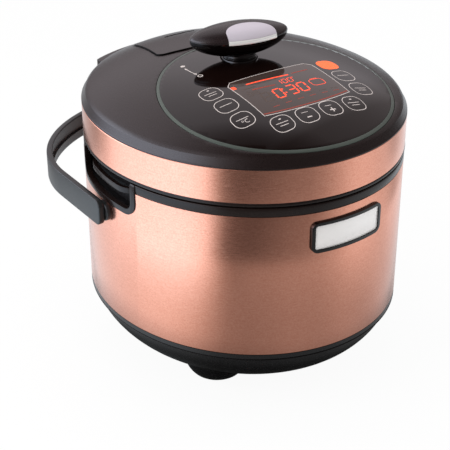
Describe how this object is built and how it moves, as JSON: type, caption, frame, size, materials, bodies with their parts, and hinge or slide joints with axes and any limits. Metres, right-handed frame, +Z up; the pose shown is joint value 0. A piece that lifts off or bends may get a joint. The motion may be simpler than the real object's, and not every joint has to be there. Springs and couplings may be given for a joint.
{
  "type": "electric pressure cooker",
  "caption": "Oval countertop pressure cooker with a hinged domed lid, a turning lock knob, a touch panel with a lit display and a swinging bail handle.",
  "frame": {"origin": "on the table plane, under the centre of the oval body", "axes": "+Z up, +Y towards the hinge at the rear, -Y towards the badge and the display, +X to the right of a user who faces the front"},
  "size_m": [0.286, 0.3373, 0.2976],
  "materials": {
    "black_plastic": "semi-gloss moulded black",
    "foot_rubber": "matte rubber",
    "circuit_board": "solder mask",
    "screw_steel": "zinc plated",
    "component_plastic": "moulded",
    "pin_brass": "nickel-tinned brass",
    "copper_sheet": "copper-coloured brushed sheet, satin",
    "brown_plastic": "dark brown, satin gloss",
    "pocket_plastic": "fine matte",
    "plate_mirror": "polished",
    "inner_steel": "turned",
    "shield_metal": "rolled sheet",
    "pot_coating": "non-stick coating",
    "plate_metal": "cast and turned",
    "element_metal": "oxidised tube",
    "fuse_ceramic": "ceramic",
    "spring_steel": "drawn wire",
    "hinge_plastic": "dark brown, satin",
    "bail_plastic": "dark grey satin",
    "liner_plastic": "dark brown, fine matte",
    "lid_plastic": "dark brown, satin gloss",
    "frame_steel": "pressed sheet",
    "ring_metal": "satin grey-green metal",
    "panel_gloss": "high-gloss dark brown",
    "display_glass": "back-lit orange-red segments",
    "valve_metal": "turned",
    "float_silicone": "silicone",
    "inner_lid_metal": "spun",
    "seal_silicone": "translucent silicone",
    "knob_gloss": "high-gloss black",
    "knob_brown": "dark brown, satin gloss",
    "inlay_silver": "satin silver with a polished lip"
  },
  "bodies": {
    "housing": {"base_bowl": "black_plastic", "bottom_cover": "black_plastic", "legs": "black_plastic", "feet": "foot_rubber", "power_board": "circuit_board", "board_screws": "screw_steel", "board_components": "component_plastic", "power_inlet": "black_plastic", "inlet_pins": "pin_brass", "body_shell": "copper_sheet", "collar": "brown_plastic", "pocket_left": "pocket_plastic", "pocket_right": "pocket_plastic", "grip_left": "brown_plastic", "grip_right": "brown_plastic", "badge_frame": "brown_plastic", "badge_plate": "plate_mirror", "vessel": "inner_steel", "locking_ring": "inner_steel", "heat_shield": "shield_metal", "inner_pot": "pot_coating", "heating_plate": "plate_metal", "heating_element": "element_metal", "thermal_fuse": "fuse_ceramic", "sensor_bracket": "inner_steel", "sensor_spring": "spring_steel", "hinge_base": "hinge_plastic", "hinge_pin": "screw_steel", "bail_boss_left": "bail_plastic", "bail_boss_right": "bail_plastic"},
    "bail": {"bail": "bail_plastic", "bail_arm_left": "bail_plastic", "bail_arm_right": "bail_plastic"},
    "lid": {"lid_liner": "liner_plastic", "lid_band": "copper_sheet", "lid_cover": "lid_plastic", "lid_frame": "frame_steel", "hinge_arm": "frame_steel", "hinge_cover": "lid_plastic", "panel_ring": "ring_metal", "control_panel": "panel_gloss", "display_module": "display_glass", "touch_board": "circuit_board", "board_pillars": "component_plastic", "steam_well": "pocket_plastic", "valve_tube": "valve_metal", "float_tube": "valve_metal", "inner_lid": "inner_lid_metal", "inner_lid_stud": "valve_metal", "seal_ring": "seal_silicone", "filter_cap": "inner_steel"},
    "lock": {"lock_plate": "inner_steel", "lock_shaft": "frame_steel", "knob_lower": "knob_gloss", "knob_upper": "knob_brown", "knob_inlay": "inlay_silver"},
    "steam_cap": {"steam_cover": "lid_plastic"},
    "weight": {"valve_weight": "valve_metal"},
    "float": {"float_pin": "float_silicone"},
    "sensor": {"sensor_cap": "plate_metal"}
  },
  "joints": [
    {"name": "lid_hinge", "type": "hinge", "parent": "housing", "child": "lid", "pos_m": [0, 0.153, 0.209], "axis": [-1, 0, 0], "range_deg": [0, 80]},
    {"name": "knob_turn", "type": "hinge", "parent": "lid", "child": "lock", "pos_m": [0, 0.0055, 0.2], "axis": [0, 0, 1], "range_deg": [0, 30]},
    {"name": "bail_swing", "type": "hinge", "parent": "housing", "child": "bail", "pos_m": [0, 0.0076, 0.161], "axis": [1, 0, 0], "range_deg": [0, 180]},
    {"name": "steam_cover_lift", "type": "slide", "parent": "lid", "child": "steam_cap", "axis": [0, 0, 1], "range_m": [0, 0.02]},
    {"name": "weight_lift", "type": "slide", "parent": "lid", "child": "weight", "axis": [0, 0, 1], "range_m": [0, 0.003]},
    {"name": "float_rise", "type": "slide", "parent": "lid", "child": "float", "axis": [0, 0, 1], "range_m": [0, 0.003]},
    {"name": "sensor_press", "type": "slide", "parent": "housing", "child": "sensor", "axis": [0, 0, 1], "range_m": [-0.0015, 0], "stiffness_N_per_m": 500, "springref_m": 0.002, "deforming": ["sensor_spring"]}
  ]
}
